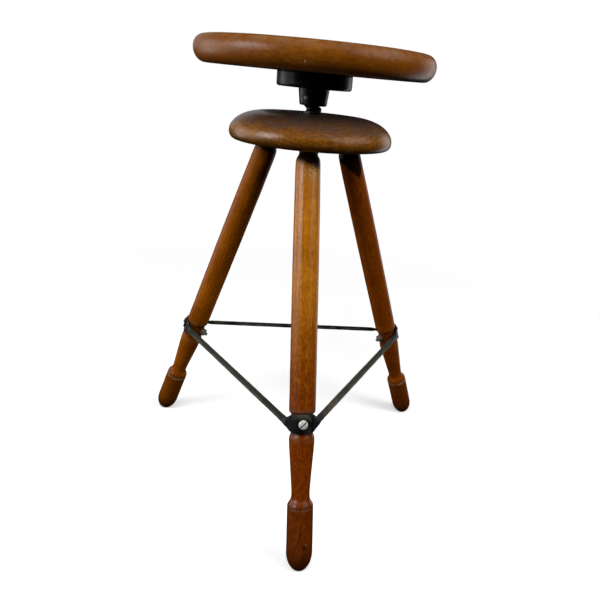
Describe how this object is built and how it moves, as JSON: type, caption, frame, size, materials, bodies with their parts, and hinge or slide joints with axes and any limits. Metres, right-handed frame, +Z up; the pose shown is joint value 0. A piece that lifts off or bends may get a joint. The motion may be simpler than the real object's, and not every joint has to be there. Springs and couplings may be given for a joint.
{
  "type": "adjustable swivel stool",
  "caption": "Tall wooden stool whose round seat winds up and down on a coarse iron screw, carried by a domed hub on splayed turned legs tied with iron stretchers.",
  "frame": {"origin": "on the floor, at the middle of the bounding box in plan; the screw's axis is 62.6 mm toward +Y from it", "axes": "+Z up along the screw; the front leg points toward -Y, and X runs across the two rear legs"},
  "size_m": [0.525, 0.4752, 0.6952],
  "materials": {
    "seat_wood": "stained and varnished, satin gloss, worn paler toward the edge",
    "hub_wood": "stained and varnished, darker and greyer on the dome",
    "leg_wood": "stained and varnished, redder and darker toward the feet",
    "cast_iron": "cast surface under gloss black paint",
    "screw_iron": "dark oiled iron, brighter on the thread's crests",
    "strap_steel": "black forged steel, satin, worn bright on the edges",
    "bright_steel": "bright steel, lightly tarnished",
    "pin_steel": "dull brown-grey steel",
    "leather": "dark compressed leather"
  },
  "bodies": {
    "base": {"leg_hub": "hub_wood", "spindle_nut": "cast_iron", "leg_front": "leg_wood", "leg_right": "leg_wood", "leg_left": "leg_wood", "stretcher_left": "strap_steel", "stretcher_right": "strap_steel", "stretcher_rear": "strap_steel", "leg_screw_front": "bright_steel", "leg_washer_front": "pin_steel", "leg_nut_front": "pin_steel", "leg_screw_right": "bright_steel", "leg_washer_right": "pin_steel", "leg_nut_right": "pin_steel", "leg_screw_left": "bright_steel", "leg_washer_left": "pin_steel", "leg_nut_left": "pin_steel", "nut_screw_1": "pin_steel", "nut_screw_2": "pin_steel", "nut_screw_3": "pin_steel"},
    "washer": {"buffer_washer": "leather"},
    "seat": {"seat": "seat_wood", "seat_flange": "cast_iron", "spindle": "screw_iron", "spindle_pin": "pin_steel", "stop_pin": "pin_steel", "seat_screw_1": "pin_steel", "seat_screw_2": "pin_steel", "seat_screw_3": "pin_steel", "seat_screw_4": "pin_steel"}
  },
  "joints": [
    {"name": "seat_turn", "type": "hinge", "parent": "base", "child": "washer", "pos_m": [0, 0.06264, 0.602], "axis": [0, 0, 1], "range_deg": [-180, 3600]},
    {"name": "seat_rise", "type": "slide", "parent": "washer", "child": "seat", "axis": [0, 0, 1], "range_m": [-0.00635, 0.127]}
  ],
  "couplings": [
    {"joint": "seat_rise", "follows": "seat_turn", "m_per_rad": 0.0020213}
  ]
}
